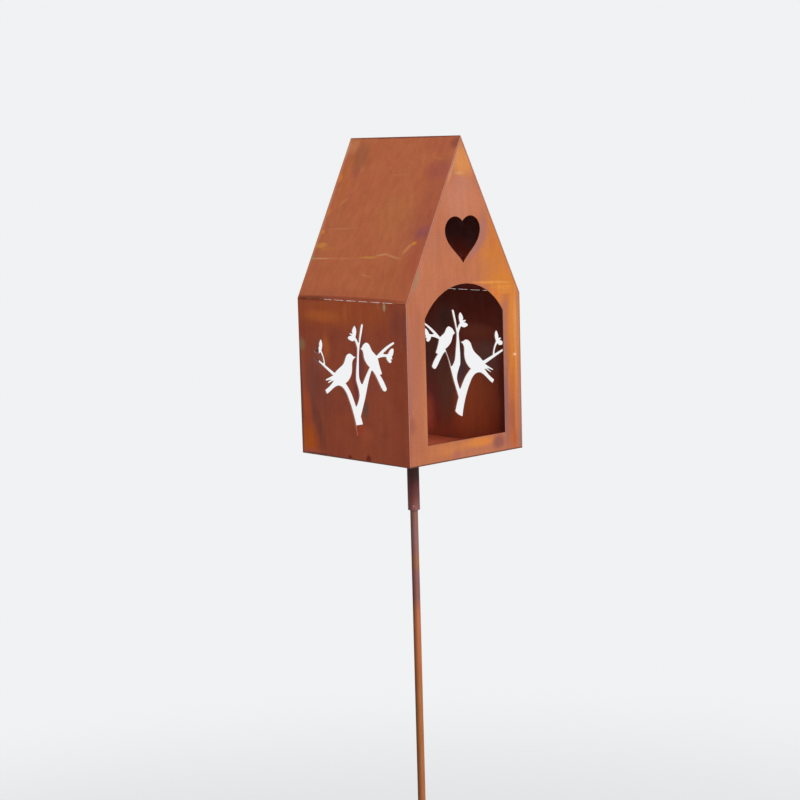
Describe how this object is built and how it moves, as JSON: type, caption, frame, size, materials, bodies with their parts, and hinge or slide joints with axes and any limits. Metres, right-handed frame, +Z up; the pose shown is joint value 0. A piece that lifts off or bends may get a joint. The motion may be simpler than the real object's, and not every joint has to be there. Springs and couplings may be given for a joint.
{
  "type": "bird feeder",
  "caption": "House-shaped bird feeder of folded rusted sheet steel on a ground stake, open through both gables, with hearts over the arches and birds on a branch cut through the side walls.",
  "frame": {"origin": "centre of the stake's flat foot, at ground level", "axes": "+Z up along the stake, the front gable faces -Y, +X to the right of someone facing the front"},
  "size_m": [0.18, 0.18, 1.26],
  "materials": {
    "rusted_sheet": "rusted",
    "rusted_roof": "rusted",
    "rusted_gable": "rusted",
    "socket_steel": "rusted",
    "rod_steel": "rusted",
    "weld_metal": "rusted"
  },
  "bodies": {
    "root": {"floor_plate": "rusted_sheet", "left_wall": "rusted_sheet", "right_wall": "rusted_sheet", "left_eave_fold": "rusted_sheet", "right_eave_fold": "rusted_sheet", "left_roof_slope": "rusted_roof", "right_roof_slope": "rusted_roof", "ridge_weld": "weld_metal", "front_gable": "rusted_gable", "back_gable": "rusted_gable", "socket_tube": "socket_steel", "socket_weld": "weld_metal", "plug_weld": "weld_metal", "stake_rod": "rod_steel", "left_floor_tacks": "weld_metal", "right_floor_tacks": "weld_metal", "front_wall_tacks": "weld_metal", "front_sill_tacks": "weld_metal", "front_roof_tacks": "weld_metal", "back_wall_tacks": "weld_metal", "back_sill_tacks": "weld_metal", "back_roof_tacks": "weld_metal"}
  },
  "joints": []
}
